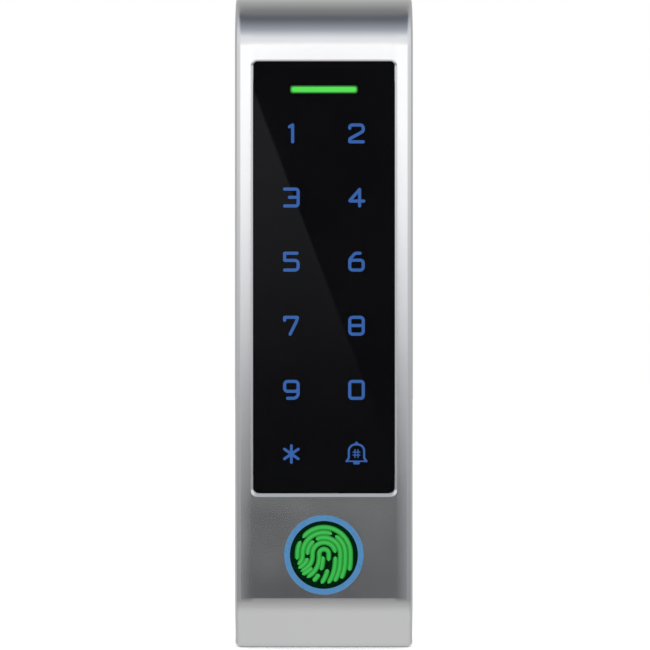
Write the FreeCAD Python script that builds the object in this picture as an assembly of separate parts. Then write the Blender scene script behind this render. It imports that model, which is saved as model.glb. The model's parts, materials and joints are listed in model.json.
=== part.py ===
import FreeCAD, Part
import math
import os

from FreeCAD import Vector

# Wall-mounted fingerprint and keypad terminal, in millimetres.
# +Z is up, the front faces -Y and the wall is the plane y = 0.
# x = 0 is the centre line, and z = 0 is midway between the two wall-screw holes.
# A depth is a distance in front of the wall, so it stands for y = -depth.

# Casing
WIDTH = 43.0
TOP = 80.0
BOTTOM = -78.0
DEPTH = 22.0
WALL_GAP = 0.4            # shadow gap between the casing's rim and the wall
WALL = 2.0
BROW_RADIUS = 12.5        # convex quarter round along the top
CREASE_Z = -67.6          # where the flat front turns into the chin
CREASE_RADIUS = 10.0
CHIN_ANGLE = 20.0
CORNER_RADIUS = 1.3
ROLL_OFF_START = 17.25    # the front is flat out to here, then rolls off
ROLL_OFF_RADIUS = 25.0
ROLL_OFF_STRIPS = 5       # narrow strips, so that the mesh follows the curve closely
EDGE_ROUND = 1.5          # width of the rounded edge between the front and the flanks
CAVITY_X = 19.0
POCKET_X = 19.9
END_BAY_X = 18.2          # half width of the bays at the hinge and at the lock
CAVITY_BOTTOM = -66.0
CAVITY_TOP = 71.5
COVER_X = POCKET_X - 0.2
COVER_Z = (CAVITY_BOTTOM - 0.7, CAVITY_TOP + 0.7)
SEAT = 0.9                # width of the seat round the rear cover
REAR_BEVEL_Y = 2.8
REAR_BEVEL_Z = 3.0

# Touch glass
GLASS_X = 34.0
GLASS_Z = (-40.5, 63.5)
GLASS_THICK = 1.5
GLASS_DEPTH = 21.6
GLASS_CORNER = 1.1
GLASS_FIT = 0.12
BEZEL_BELOW = 0.8         # width of the bevel round the glass, which is widest under it
BEZEL_SIDE = 0.55
BEZEL_ABOVE = 0.35
BEZEL_DROP = 0.3
GLUE = 0.2
GLUE_WIDTH = 1.2
INLAY = 0.3

# Keys
KEY_X = 7.85
KEY_TOP = 46.2
KEY_PITCH = 15.46
GLYPH_A = 1.63            # half width of a digit's centre line
GLYPH_B = 2.03            # half height of a digit's centre line
STROKE = 0.76
BAR_Z = 56.8
BAR_SIZE = (16.2, 1.8)
BAR_CORNER = 0.6
STATUS_LED_X = (-5.4, 0.0, 5.4)

# Depths of the electronics, front to back
SHEET_FACE = GLASS_DEPTH - GLASS_THICK
SHEET_THICK = 0.3
PAD_THICK = 0.1
KEYPAD_FACE = SHEET_FACE - SHEET_THICK - PAD_THICK
KEYPAD_THICK = 1.0
KEYPAD_BACK = KEYPAD_FACE - KEYPAD_THICK
MAIN_FACE = 12.7
MAIN_BACK = 11.5
COVER_FACE = 6.4
COVER_BACK = 4.7
SEAT_DEPTH = 7.2
MAIN_Z = (-35.5, 66.0)
MAIN_X = 37.0
LEAD_THICK = 0.25

# Places of the larger components, as (x, z)
TOUCH_CHIP = (0.0, 38.4)
LINK = (0.0, 7.5)
PROCESSOR = (0.0, -16.0)
MEMORY = (-11.6, -28.0)
RELAY_Z = 23.0
BUZZER = (-12.0, -12.0)
INDUCTOR = (11.0, 45.0)
CAPACITORS = [(-11.0, 40.0), (-11.0, 48.5)]
REGULATOR = (1.0, 47.0)
HEADERS = [(-8.0, 6), (8.6, 5)]    # x and number of pins
HEADER_Z = 1.5
HEADER_PITCH = 2.0

# Fingerprint sensor
SENSOR_Z = -55.4
RING_RADIUS = 9.55
LENS_RADIUS = 8.2
FLANGE_RADIUS = 10.4
RING_FACE = 22.15
LENS_FACE = 21.95
RING_BACK = DEPTH - WALL - 0.4
GASKET_THICK = 0.4
LENS_THICK = 1.2
BOARD_FACE = 15.2
BOARD_BACK = 14.2
CLAMP_THICK = 1.0
CONNECTOR = (8.6, 2.8, 1.5)
SENSOR_PLUG_Z = -48.6
MAIN_PLUG_Z = -32.4
RIBBON_X = 7.0
RIBBON = 0.3
RIBBON_INSET = 0.6        # from the board to the ribbon inside a connector

# Fixings
BOARD_SCREWS = [(-16.6, 61.0), (16.6, 61.0), (-16.6, -31.5), (16.6, -31.5)]
COVER_SCREWS = [(x, z) for z in (68.6, -38.5, -63.0) for x in (-16.4, 16.4)]
CLAMP_SCREWS = [(-14.6, SENSOR_Z), (14.6, SENSOR_Z)]
BOSS_RADIUS = 2.0
SCREW_RADIUS = 0.75       # the pilot holes have it too
RIB = 1.2                 # thickness of the ribs that tie bosses and bars to the walls

# Back plate, its hooks and the locking screw
PLATE_X = 19.2
PLATE_THICK = 1.5
PLATE_Z = (-69.8, 74.4)
WALL_HOLE_Z = 58.0
WALL_HOLE_RADIUS = 2.1
OUTLET_Z = 20.0
OUTLET_RADIUS = 9.0
HINGE_DEPTH = 2.6
HINGE_Z = 75.8
BAR_RADIUS = 1.1
HOOK_BORE = 1.16
HOOK_RADIUS = 2.2
HOOK_X = (7.0, 13.0)
LUG_Z = (-69.8, -68.6)
LUG_REACH = 9.5
LOCK_DEPTH = 6.0
LOCK_RADIUS = 1.5
LOCK_FLOOR = -73.2
LOCK_TOP = -70.6
COUNTERBORE = 2.9
HEAD_RADIUS = 2.6
HEAD_LOW = BOTTOM + 0.65
HEAD_TOP = HEAD_LOW + 1.5
SCREW_TIP = LUG_Z[0] - 0.5
WASHER_THICK = 0.5

# Tamper switch
TAMPER = (12.5, -20.0)
PLUNGER_RADIUS = 1.0
PLUNGER_TIP = 1.8
COLLAR_BACK = COVER_FACE + 1.85
COLLAR_FACE = COLLAR_BACK + 0.5
SPRING_RADIUS = 1.2
SPRING_WIRE = 0.12        # half the side of its square wire
SPRING_TURNS = 4

# Cable grommet
GROMMET_RADIUS = 5.0
GROMMET_BORE = 3.2
GROMMET_LIP = 0.9


def block(x0, x1, d0, d1, z0, z1):
    """Box from x0 to x1, from depth d0 (front) to depth d1 (back), and from z0 to z1."""
    return Part.makeBox(x1 - x0, d0 - d1, z1 - z0, Vector(x0, -d0, z0))


def centred(x, z, width, height, d0, d1):
    """Box centred on (x, z), from depth d0 (front) to depth d1 (back)."""
    return block(x - width / 2, x + width / 2, d0, d1, z - height / 2, z + height / 2)


def rod(x, z, radius, d0, d1):
    """Cylinder along Y at (x, z), from depth d0 (front) to depth d1 (back)."""
    return Part.makeCylinder(radius, d0 - d1, Vector(x, -d0, z), Vector(0, 1, 0))


def tube(x, z, radius, bore, d0, d1):
    return rod(x, z, radius, d0, d1).cut(rod(x, z, bore, d0, d1))


def merge(shapes):
    """One solid, or a group of separate solids, made of all the shapes."""
    return shapes[0].multiFuse(shapes[1:]).removeSplitter() if len(shapes) > 1 else shapes[0]


def rounded_wire(points, radius, closed=False):
    """Wire through the points with every corner rounded by a tangent arc.

    radius is one number, or one per point. A corner of radius 0 stays sharp.
    """
    count = len(points)
    radii = radius if isinstance(radius, (list, tuple)) else [radius] * count
    corners = []
    for i, (point, r) in enumerate(zip(points, radii)):
        ends = not closed and i in (0, count - 1)
        if ends or r == 0:
            corners.append((point, None, point))
            continue
        before = (points[i - 1] - point).normalize()
        after = (points[(i + 1) % count] - point).normalize()
        half = before.getAngle(after) / 2
        run = r / math.tan(half)
        middle = (before + after).normalize() * (r / math.sin(half) - r)
        corners.append((point + before * run, point + middle, point + after * run))
    edges = []
    for i, (start, middle, end) in enumerate(corners):
        if middle is not None:
            edges.append(Part.Arc(start, middle, end).toShape())
        if i < count - 1 or closed:
            following = corners[(i + 1) % count][0]
            if (following - end).Length > 1e-6:
                edges.append(Part.LineSegment(end, following).toShape())
    return Part.Wire(edges)


def prism(points, radius, direction):
    return Part.Face(rounded_wire(points, radius, closed=True)).extrude(direction)


def outline(x, z, width, height, corner, depth):
    """Rectangle with rounded corners, centred on (x, z), at one depth."""
    w = width / 2
    h = height / 2
    points = [Vector(x + sx * w, -depth, z + sz * h) for sx, sz in ((-1, -1), (1, -1), (1, 1), (-1, 1))]
    return rounded_wire(points, corner, closed=True)


def rounded_plate(x, z, width, height, corner, d0, d1):
    """Plate with rounded corners, centred on (x, z), from depth d0 to depth d1."""
    return Part.Face(outline(x, z, width, height, corner, d0)).extrude(Vector(0, d0 - d1, 0))


def front_edges(shape, depth):
    """Edges that lie wholly in the plane at this depth."""
    return [e for e in shape.Edges if abs(e.BoundBox.YMax + depth) + abs(e.BoundBox.YMin + depth) < 0.01]


def frame(width, height, inside_width, inside_height, corner, z, d0, d1):
    outer = rounded_plate(0, z, width, height, corner, d0, d1)
    return outer.cut(rounded_plate(0, z, inside_width, inside_height, corner, d0, d1))


# Casing

def side_profile(inset):
    """Closed outline of the casing in the YZ plane, moved inwards by inset."""
    slope = math.radians(CHIN_ANGLE)
    front = -(DEPTH - inset)
    low = BOTTOM + inset
    crease = CREASE_Z + inset * math.tan(slope / 2)
    chin_y = front + (crease - low) * math.tan(slope)
    points = [
        Vector(0, -WALL_GAP, TOP - inset),
        Vector(0, front, TOP - inset),
        Vector(0, front, crease),
        Vector(0, chin_y, low),
        Vector(0, -WALL_GAP, low),
    ]
    return points, [0, BROW_RADIUS - inset, CREASE_RADIUS - inset, max(CORNER_RADIUS - inset, 0), 0]


def profile_solid(inset, half_width):
    points, radii = side_profile(inset)
    wire = rounded_wire([p - Vector(half_width, 0, 0) for p in points], radii, closed=True)
    return Part.Face(wire).extrude(Vector(2 * half_width, 0, 0))


def roll_off(side):
    """Edges of the plan on one side of the flat front: the roll-off's arcs and the rounded corner."""
    half = WIDTH / 2
    turn = math.asin((half - EDGE_ROUND - ROLL_OFF_START) / ROLL_OFF_RADIUS)

    def point(angle):
        x = ROLL_OFF_START + ROLL_OFF_RADIUS * math.sin(angle)
        return Vector(side * x, ROLL_OFF_RADIUS * (1 - math.cos(angle)) - DEPTH, 0)

    along = Vector(side * math.cos(turn), math.sin(turn), 0)
    back = Vector(0, 1, 0)
    start = point(turn)
    reach = (side * half - start.x) / along.x
    corner = start + along * reach
    end = corner + back * reach
    half_angle = (along * -1).getAngle(back) / 2
    radius = reach * math.tan(half_angle)
    middle = corner + (back - along).normalize() * (radius / math.sin(half_angle) - radius)
    arcs = []
    for i in range(ROLL_OFF_STRIPS):
        ends = [turn * (i + part) / ROLL_OFF_STRIPS for part in (0, 0.5, 1)]
        arcs.append(Part.Arc(*(point(angle) for angle in ends)))
    return arcs + [Part.Arc(start, middle, end)]


def patch(across, down):
    """Exact surface that one plan curve sweeps when it moves, unturned, along one profile curve."""
    rows = across.getPoles()
    columns = down.getPoles()
    weights = [[u * v for v in down.getWeights()] for u in across.getWeights()]
    poles = [[p + q + Vector(0, DEPTH, 0) for q in columns] for p in rows]
    surface = Part.BSplineSurface()
    surface.buildFromPolesMultsKnots(
        poles, across.getMultiplicities(), down.getMultiplicities(), across.getKnots(), down.getKnots(),
        False, False, across.Degree, down.Degree, weights,
    )
    return surface.toShape()


def closing_face(edges):
    """Flat face behind a run of front edges, reaching back to the casing's rim."""
    run = Part.Wire(Part.__sortEdges__(edges))
    first = run.OrderedVertexes[0].Point
    last = run.OrderedVertexes[-1].Point
    corners = [last, Vector(last.x, -WALL_GAP, last.z), Vector(first.x, -WALL_GAP, first.z), first]
    sides = [Part.LineSegment(p, q).toShape() for p, q in zip(corners, corners[1:])]
    return Part.Face(Part.Wire(run.Edges + sides))


def casing_curves():
    """Plan of the front from side to side, and its profile from chin to brow."""
    flat = Part.LineSegment(Vector(-ROLL_OFF_START, -DEPTH, 0), Vector(ROLL_OFF_START, -DEPTH, 0))
    plan = [curve.toShape() for curve in roll_off(-1) + [flat] + roll_off(1)]
    points, radii = side_profile(0)
    return plan, rounded_wire(points, radii).Edges[1:-1]


def spline(edge):
    return edge.Curve.toBSpline(edge.FirstParameter, edge.LastParameter)


def casing_rectangle(y):
    half = WIDTH / 2
    return [Vector(x, y, z) for x, z in ((-half, BOTTOM), (half, BOTTOM), (half, TOP), (-half, TOP))]


def swept_casing():
    """Block whose front is the plan carried along the profile, so its crease runs straight across."""
    plan, profile = casing_curves()
    faces = [patch(spline(across), spline(down)) for across in plan for down in profile]
    flank_y = max(v.Y for e in plan for v in e.Vertexes) + DEPTH
    flank = [e.translated(Vector(WIDTH / 2, flank_y, 0)) for e in profile]
    faces += [closing_face(flank), closing_face([e.translated(Vector(-WIDTH, 0, 0)) for e in flank])]
    ends = sorted((v.Point for e in profile for v in e.Vertexes), key=lambda p: p.z)
    for end in (ends[0], ends[-1]):
        faces.append(closing_face([e.translated(end + Vector(0, DEPTH, 0)) for e in plan]))
    rear = casing_rectangle(-WALL_GAP)
    faces.append(Part.Face(Part.makePolygon(rear + rear[:1])))
    shell = Part.Shell(faces)
    shell.sewShape()
    return Part.Solid(shell)


def casing_outside():
    """Swept block with its lower corners rounded and its upper rear edge bevelled."""
    rounded = prism(casing_rectangle(-DEPTH), [CORNER_RADIUS, CORNER_RADIUS, 0, 0], Vector(0, DEPTH, 0))
    bevel = [
        Vector(-WIDTH / 2, -REAR_BEVEL_Y, TOP),
        Vector(-WIDTH / 2, 0, TOP),
        Vector(-WIDTH / 2, 0, TOP - REAR_BEVEL_Z - WALL_GAP),
    ]
    return swept_casing().common(rounded).cut(prism(bevel, 0, Vector(WIDTH, 0, 0)))


def glass_recess():
    """Stepped pocket for the glass, with a bevelled mouth that runs out past the front face."""
    middle = sum(GLASS_Z) / 2
    height = GLASS_Z[1] - GLASS_Z[0]
    width = GLASS_X + 2 * GLASS_FIT
    tall = height + 2 * GLASS_FIT
    pocket = rounded_plate(0, middle, width, tall, GLASS_CORNER, DEPTH + 1, SHEET_FACE - GLUE)
    above, below, side = (2 * reach for reach in (BEZEL_ABOVE, BEZEL_BELOW, BEZEL_SIDE))
    mouth_z = middle + (above - below) / 2
    mouth_size = (width + 2 * side, tall + above + below)
    mouth = Part.makeLoft([
        outline(0, middle, width, tall, GLASS_CORNER, DEPTH - BEZEL_DROP),
        outline(0, mouth_z, *mouth_size, GLASS_CORNER + side, DEPTH + BEZEL_DROP),
    ], True, True)
    window = rounded_plate(
        0, middle, GLASS_X - 2 * GLUE_WIDTH, height - 2 * GLUE_WIDTH, GLASS_CORNER, DEPTH, DEPTH - 5
    )
    return merge([pocket, mouth, window])


def boss(x, z, radius, d0, d1, rib_back):
    """Screw boss with a rib that ties it to the nearer side wall."""
    low, high = sorted((x, math.copysign(CAVITY_X, x)))
    return [rod(x, z, radius, d0, d1), block(low, high, d0, rib_back, z - RIB / 2, z + RIB / 2)]


def casing_bosses():
    inner = DEPTH - WALL
    bosses = []
    for x, z in BOARD_SCREWS:
        bosses += boss(x, z, BOSS_RADIUS, inner - 1.3, MAIN_FACE, MAIN_FACE)
    for x, z in COVER_SCREWS:
        bosses += boss(x, z, BOSS_RADIUS + 0.2, inner, COVER_FACE, COVER_FACE + 1.2)
    bosses += [rod(x, z, BOSS_RADIUS, inner, BOARD_BACK) for x, z in CLAMP_SCREWS]
    return merge(bosses)


def casing_cavities():
    """The hollows behind the front wall: electronics bay, cover pocket, lock bay and hinge bay."""
    inside = profile_solid(WALL, CAVITY_X)
    bay = inside.common(block(-CAVITY_X, CAVITY_X, DEPTH, SEAT_DEPTH, CAVITY_BOTTOM, CAVITY_TOP))
    pocket = block(-POCKET_X, POCKET_X, SEAT_DEPTH, COVER_BACK, CAVITY_BOTTOM - SEAT, CAVITY_TOP + SEAT)
    skirt = block(-POCKET_X, POCKET_X, COVER_BACK, 0, BOTTOM + WALL, TOP - WALL)
    lock_roof = CAVITY_BOTTOM - SEAT - 1.2
    hinge_floor = CAVITY_TOP + SEAT + 1.6
    lock_bay = inside.common(block(-END_BAY_X, END_BAY_X, 16.5, COVER_BACK, BOTTOM + WALL, lock_roof))
    hinge_bay = inside.common(block(-END_BAY_X, END_BAY_X, 18, COVER_BACK, hinge_floor, TOP - WALL))
    top_notch = block(-POCKET_X, POCKET_X, HINGE_DEPTH - 0.2, 0, PLATE_Z[1] - 0.4, TOP)
    return [bay, pocket, skirt, lock_bay, hinge_bay, top_notch]


def bar(x0, x1):
    """Length of round bar on the hinge's axis."""
    return Part.makeCylinder(BAR_RADIUS, x1 - x0, Vector(x0, -HINGE_DEPTH, HINGE_Z), Vector(1, 0, 0))


def hinge_bars():
    """Two cast bars on ribs, which drop into the back plate's hooks."""
    inner = HOOK_X[0] - 0.6 - RIB
    outer = HOOK_X[1] + 0.6
    front = HINGE_DEPTH + BAR_RADIUS
    pieces = []
    for side in (-1, 1):
        ends = sorted((side * inner, side * (outer + RIB)))
        pieces.append(bar(*ends))
        for near in (inner, outer):
            x0, x1 = sorted((side * near, side * (near + RIB)))
            pieces.append(block(x0, x1, front, HINGE_DEPTH - BAR_RADIUS + 0.2, HINGE_Z, TOP - WALL))
    return pieces


def lock_boss():
    return Part.makeCylinder(4.0, LOCK_TOP - BOTTOM - 1, Vector(0, -LOCK_DEPTH, BOTTOM + 1))


def lock_hole():
    counterbore = Part.makeCylinder(COUNTERBORE, LOCK_FLOOR - BOTTOM, Vector(0, -LOCK_DEPTH, BOTTOM))
    thread = Part.makeCylinder(LOCK_RADIUS + 0.05, LOCK_TOP - BOTTOM, Vector(0, -LOCK_DEPTH, BOTTOM))
    return merge([counterbore, thread])


def front_housing():
    body = casing_outside()
    for hollow in casing_cavities():
        body = body.cut(hollow)
    body = body.fuse(casing_bosses())
    body = merge([body, lock_boss()] + hinge_bars())
    body = body.cut(glass_recess())
    body = body.cut(rod(0, SENSOR_Z, RING_RADIUS + 0.05, DEPTH + 1, DEPTH - WALL - 1))
    body = body.cut(lock_hole())
    for places, mouth, length in (
        (BOARD_SCREWS, MAIN_FACE, 4.2), (COVER_SCREWS, COVER_FACE, 5.2), (CLAMP_SCREWS, BOARD_BACK, 4.2)
    ):
        for x, z in places:
            body = body.cut(rod(x, z, SCREW_RADIUS, mouth + length, mouth))
    return body


# Glyphs of the lit keys

def stroke(points, width=STROKE, radius=0.0, closed=False):
    """Flat line of the given width through (x, z) points, as a plate INLAY thick at the glass's face."""
    path = [Vector(x, -GLASS_DEPTH, z) for x, z in points]
    push = Vector(0, INLAY, 0)
    if len(path) == 2:
        along = path[1] - path[0]
        across = along.cross(Vector(0, 1, 0)).normalize() * (width / 2)
        corners = [path[0] + across, path[1] + across, path[1] - across, path[0] - across]
        bar = prism(corners, 0, push)
        caps = [Part.makeCylinder(width / 2, INLAY, p, Vector(0, 1, 0)) for p in path]
        return merge([bar] + caps)
    wire = rounded_wire(path, radius, closed)
    if closed:
        outer = Part.Face(wire.makeOffset2D(width / 2))
        inner = Part.Face(wire.makeOffset2D(-width / 2))
        return outer.cut(inner).Faces[0].extrude(push)
    return Part.Face(wire.makeOffset2D(width / 2)).extrude(push)


def bowl(low, high, radius=0.75):
    a = GLYPH_A
    return stroke([(-a, high), (a, high), (a, low), (-a, low)], radius=radius, closed=True)


def digit_shapes():
    """Strokes of the ten digits, each about its own centre."""
    a = GLYPH_A
    b = GLYPH_B
    mid = 0.05
    return {
        "0": [bowl(-b, b, 0.6)],
        "1": [stroke([(-0.45, 1.6), (0.3, b), (0.3, -b)])],
        "2": [stroke([(-a, 1.25), (-a, b), (a, b), (a, 0.5), (-a, -1.3), (-a, -b), (a, -b)],
                     radius=[0, 0.6, 0.75, 0.8, 0.35, 0.1, 0])],
        "3": [stroke([(-a, b), (a, b), (a, -b), (-a, -b)], radius=0.6),
              stroke([(-0.45, mid), (a - 0.1, mid)])],
        "4": [stroke([(0.75, b - 0.1), (-1.7, -0.85), (1.75, -0.85)], radius=0.1),
              stroke([(0.75, b - 0.1), (0.75, -b)])],
        "5": [stroke([(1.35, b), (-a, b), (-a, 0.3), (a, 0.3), (a, -b), (-a, -b)],
                     radius=[0, 0.1, 0.1, 0.8, 0.8, 0])],
        "6": [bowl(-b, 0.35),
              stroke([(0.85, b), (-0.35, b), (-a, 0.5), (-a, -0.6)], radius=[0, 0.9, 0.8, 0])],
        "7": [stroke([(-a, 1.35), (-a, b), (1.5, b), (1.2, 1.0), (-0.3, -b)], radius=[0, 0.1, 0.1, 0.8, 0])],
        "8": [bowl(-b, b), stroke([(-a, mid), (a, mid)])],
        "9": [bowl(-0.35, b), stroke([(a, 0.6), (a, -b), (-0.9, -b)], radius=1.2)],
    }


def star():
    arms = []
    for angle in (90, 35, 145):
        x = GLYPH_B * math.cos(math.radians(angle))
        z = GLYPH_B * math.sin(math.radians(angle))
        arms.append(stroke([(-x, -z), (x, z)], width=0.66))
    return arms


def bell():
    """Bell outline with a hash sign inside, a knob on top and a clapper below."""
    side = 1.85
    foot = 2.4
    base = -1.75
    dome = stroke([(-foot, base), (-side, -0.95), (-side, 2.3), (side, 2.3), (side, -0.95), (foot, base)],
                  width=0.5, radius=[0, 0.5, 1.6, 1.6, 0.5, 0])
    pieces = [dome, stroke([(-foot, base), (foot, base)], width=0.34)]
    pieces.append(stroke([(0, 2.4), (0, 2.7)], width=0.6))
    pieces.append(stroke([(-0.45, base - 0.42), (0.45, base - 0.42)], width=0.7))
    for offset in (-0.36, 0.36):
        pieces.append(stroke([(offset, -0.85), (offset, 1.05)], width=0.26))
        pieces.append(stroke([(-0.82, 0.1 + offset), (0.82, 0.1 + offset)], width=0.26))
    return pieces


def key_places():
    """Centre of each key, row by row from the top left."""
    return [(side * KEY_X, KEY_TOP - row * KEY_PITCH) for row in range(6) for side in (-1, 1)]


def key_legends():
    digits = digit_shapes()
    signs = [digits[name] for name in "1234567890"] + [star(), bell()]
    legends = []
    for sign, (x, z) in zip(signs, key_places()):
        glyph = merge(sign)
        glyph.translate(Vector(x, 0, z))
        legends.append(glyph)
    return Part.makeCompound(legends)


# Touch panel

def light_bar(d0, d1):
    return rounded_plate(0, BAR_Z, *BAR_SIZE, BAR_CORNER, d0, d1)


def touch_glass(legends):
    middle = sum(GLASS_Z) / 2
    height = GLASS_Z[1] - GLASS_Z[0]
    glass = rounded_plate(0, middle, GLASS_X, height, GLASS_CORNER, GLASS_DEPTH, SHEET_FACE)
    glass = glass.makeChamfer(0.2, front_edges(glass, GLASS_DEPTH))
    glass = glass.cut(light_bar(GLASS_DEPTH, SHEET_FACE))
    return glass.cut(legends)


def glass_adhesive():
    middle = sum(GLASS_Z) / 2
    height = GLASS_Z[1] - GLASS_Z[0]
    inner = 2 * GLUE_WIDTH
    return frame(
        GLASS_X - 0.1, height - 0.1, GLASS_X - inner, height - inner, GLASS_CORNER, middle,
        SHEET_FACE, SHEET_FACE - GLUE,
    )


def keypad_outline(width, height, d0, d1):
    return rounded_plate(0, sum(GLASS_Z) / 2, width, height, 1.0, d0, d1)


def diffuser_sheet():
    sheet = keypad_outline(30.8, 100.6, SHEET_FACE, SHEET_FACE - SHEET_THICK)
    return sheet.cut(light_bar(SHEET_FACE + 1, SHEET_FACE - 1))


def touch_electrodes():
    pads = []
    for x, z in key_places():
        pad = rounded_plate(x, z, 11.0, 11.0, 1.5, KEYPAD_FACE + PAD_THICK, KEYPAD_FACE)
        pads.append(pad.cut(rod(x, z, 3.0, KEYPAD_FACE + 1, KEYPAD_FACE - 1)))
    return Part.makeCompound(pads)


def keypad_board():
    board = keypad_outline(28.8, 100.4, KEYPAD_FACE, KEYPAD_BACK)
    for x, z in key_places():
        board = board.cut(rod(x, z, 1.3, KEYPAD_FACE + 1, KEYPAD_BACK - 1))
    for x in STATUS_LED_X:
        board = board.cut(rod(x, BAR_Z, 1.3, KEYPAD_FACE + 1, KEYPAD_BACK - 1))
    return board


def reverse_led(x, z):
    """LED soldered behind the board, its dome reaching into the board's hole."""
    body = centred(x, z, 3.4, 1.9, KEYPAD_BACK, KEYPAD_BACK - 1.0)
    dome = rod(x, z, 1.1, KEYPAD_FACE - 0.2, KEYPAD_BACK)
    return merge([body, dome])


def key_leds():
    return Part.makeCompound([reverse_led(x, z) for x, z in key_places()])


def status_leds():
    return Part.makeCompound([reverse_led(x, BAR_Z) for x in STATUS_LED_X])


def chip(place, size, thick, board, pins, pitch):
    """Square package on the back of a board, with a row of leads along each side."""
    x, z = place
    pieces = [centred(x, z, size, size, board, board - thick)]
    for i in range(pins):
        row = z + (i - (pins - 1) / 2) * pitch
        for side in (-1, 1):
            lead_x = x + side * (size / 2 + 0.35)
            pieces.append(centred(lead_x, row, 0.9, pitch * 0.4, board, board - LEAD_THICK))
    return merge(pieces)


def touch_controller():
    return chip(TOUCH_CHIP, 7.0, 1.2, KEYPAD_BACK, 10, 0.65)


def board_link():
    """Stacking connector that joins the keypad board to the main board."""
    middle = KEYPAD_BACK - 3.4
    socket = centred(*LINK, 16.0, 4.0, KEYPAD_BACK, middle)
    header = centred(*LINK, 17.6, 5.0, middle, MAIN_FACE)
    return merge([socket, header])


# Main board and what it carries

def main_board():
    middle = sum(MAIN_Z) / 2
    board = rounded_plate(0, middle, MAIN_X, MAIN_Z[1] - MAIN_Z[0], 1.0, MAIN_FACE, MAIN_BACK)
    for x, z in BOARD_SCREWS:
        board = board.cut(rod(x, z, 1.0, MAIN_FACE + 1, MAIN_BACK - 1))
    return board


def pan_screw(x, z, seat, length, head_radius=1.7, head=1.2):
    """Self-tapping screw along +Y at (x, z), its head on the back of the depth called seat."""
    shank = rod(x, z, SCREW_RADIUS, seat + length, seat)
    top = rod(x, z, head_radius, seat, seat - head)
    slot = rod(x, z, 0.55, seat - head + 0.7, seat - head)
    return merge([shank, top]).cut(slot)


def board_screws():
    return Part.makeCompound([pan_screw(x, z, MAIN_BACK, 4.6) for x, z in BOARD_SCREWS])


def processor():
    """Square package with a row of leads along all four sides."""
    x, z = PROCESSOR
    pieces = [centred(x, z, 12.0, 12.0, MAIN_BACK, MAIN_BACK - 1.4)]
    low = MAIN_BACK - LEAD_THICK
    for i in range(14):
        step = (i - 6.5) * 0.8
        for side in (-6.4, 6.4):
            pieces.append(centred(x + side, z + step, 0.9, 0.36, MAIN_BACK, low))
            pieces.append(centred(x + step, z + side, 0.36, 0.9, MAIN_BACK, low))
    return merge(pieces)


def memory_chip():
    return chip(MEMORY, 5.1, 1.6, MAIN_BACK, 4, 1.2)


def lock_relay():
    case = rounded_plate(0, RELAY_Z, 14.0, 9.0, 0.4, MAIN_FACE + 4.9, MAIN_FACE + 0.2)
    pieces = [case]
    for side in (-1, 1):
        pieces.append(centred(side * 6.0, RELAY_Z, 1.0, 6.0, MAIN_FACE + 0.3, MAIN_FACE))
        for i in range(5):
            pieces.append(centred((i - 2) * 2.54, RELAY_Z + side * 4.9, 0.6, 1.2, MAIN_FACE + 0.5, MAIN_FACE))
    return merge(pieces)


def buzzer():
    can = rod(*BUZZER, 4.6, MAIN_BACK, MAIN_BACK - 4.0)
    return can.cut(rod(*BUZZER, 0.9, MAIN_BACK - 3.0, MAIN_BACK - 4.0))


def power_inductor():
    back = MAIN_BACK - 3.0
    core = rounded_plate(*INDUCTOR, 6.6, 6.6, 1.4, MAIN_BACK, back)
    return core.cut(tube(*INDUCTOR, 2.6, 2.2, back + 0.3, back))


def power_capacitors():
    cans = []
    for x, z in CAPACITORS:
        base = rounded_plate(x, z, 6.2, 6.2, 0.9, MAIN_BACK, MAIN_BACK - 0.8)
        cans.append(merge([base, rod(x, z, 2.9, MAIN_BACK - 0.5, MAIN_BACK - 4.4)]))
    return Part.makeCompound(cans)


def voltage_regulator():
    x, z = REGULATOR
    low = MAIN_BACK - 2 * LEAD_THICK
    body = centred(x, z, 6.4, 6.0, MAIN_BACK, MAIN_BACK - 2.2)
    tab = centred(x, z + 4.0, 5.2, 2.4, MAIN_BACK, low)
    leads = [centred(x + side, z - 4.2, 0.8, 2.6, MAIN_BACK, low) for side in (-2.3, 2.3)]
    return merge([body, tab] + leads)


def harness_header():
    """Two shrouded wire-to-board headers, with their pins inside."""
    headers = []
    floor = MAIN_BACK - 1.0
    back = MAIN_BACK - 4.4
    for x, pins in HEADERS:
        width = (pins + 1) * HEADER_PITCH
        shroud = centred(x, HEADER_Z, width, 4.8, MAIN_BACK, back)
        pieces = [shroud.cut(centred(x, HEADER_Z, width - 1.2, 3.6, floor, back))]
        for i in range(pins):
            pin_x = x + (i - (pins - 1) / 2) * HEADER_PITCH
            pieces.append(centred(pin_x, HEADER_Z, 0.5, 0.5, floor + 0.1, back + 0.8))
        headers.append(merge(pieces))
    return Part.makeCompound(headers)


# Tamper switch

def tamper_switch():
    ceiling = MAIN_BACK - 0.3
    body = rounded_plate(*TAMPER, 6.0, 6.0, 0.4, MAIN_BACK, COVER_FACE + 0.8)
    body = body.cut(rod(*TAMPER, 1.65, ceiling, COVER_FACE + 1.8))
    return body.cut(rod(*TAMPER, PLUNGER_RADIUS + 0.05, ceiling, COVER_FACE))


def tamper_plunger():
    stem = rod(*TAMPER, PLUNGER_RADIUS, COLLAR_BACK, PLUNGER_TIP)
    stem = stem.makeChamfer(0.3, front_edges(stem, PLUNGER_TIP))
    return merge([stem, rod(*TAMPER, 1.5, COLLAR_FACE, COLLAR_BACK)])


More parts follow.
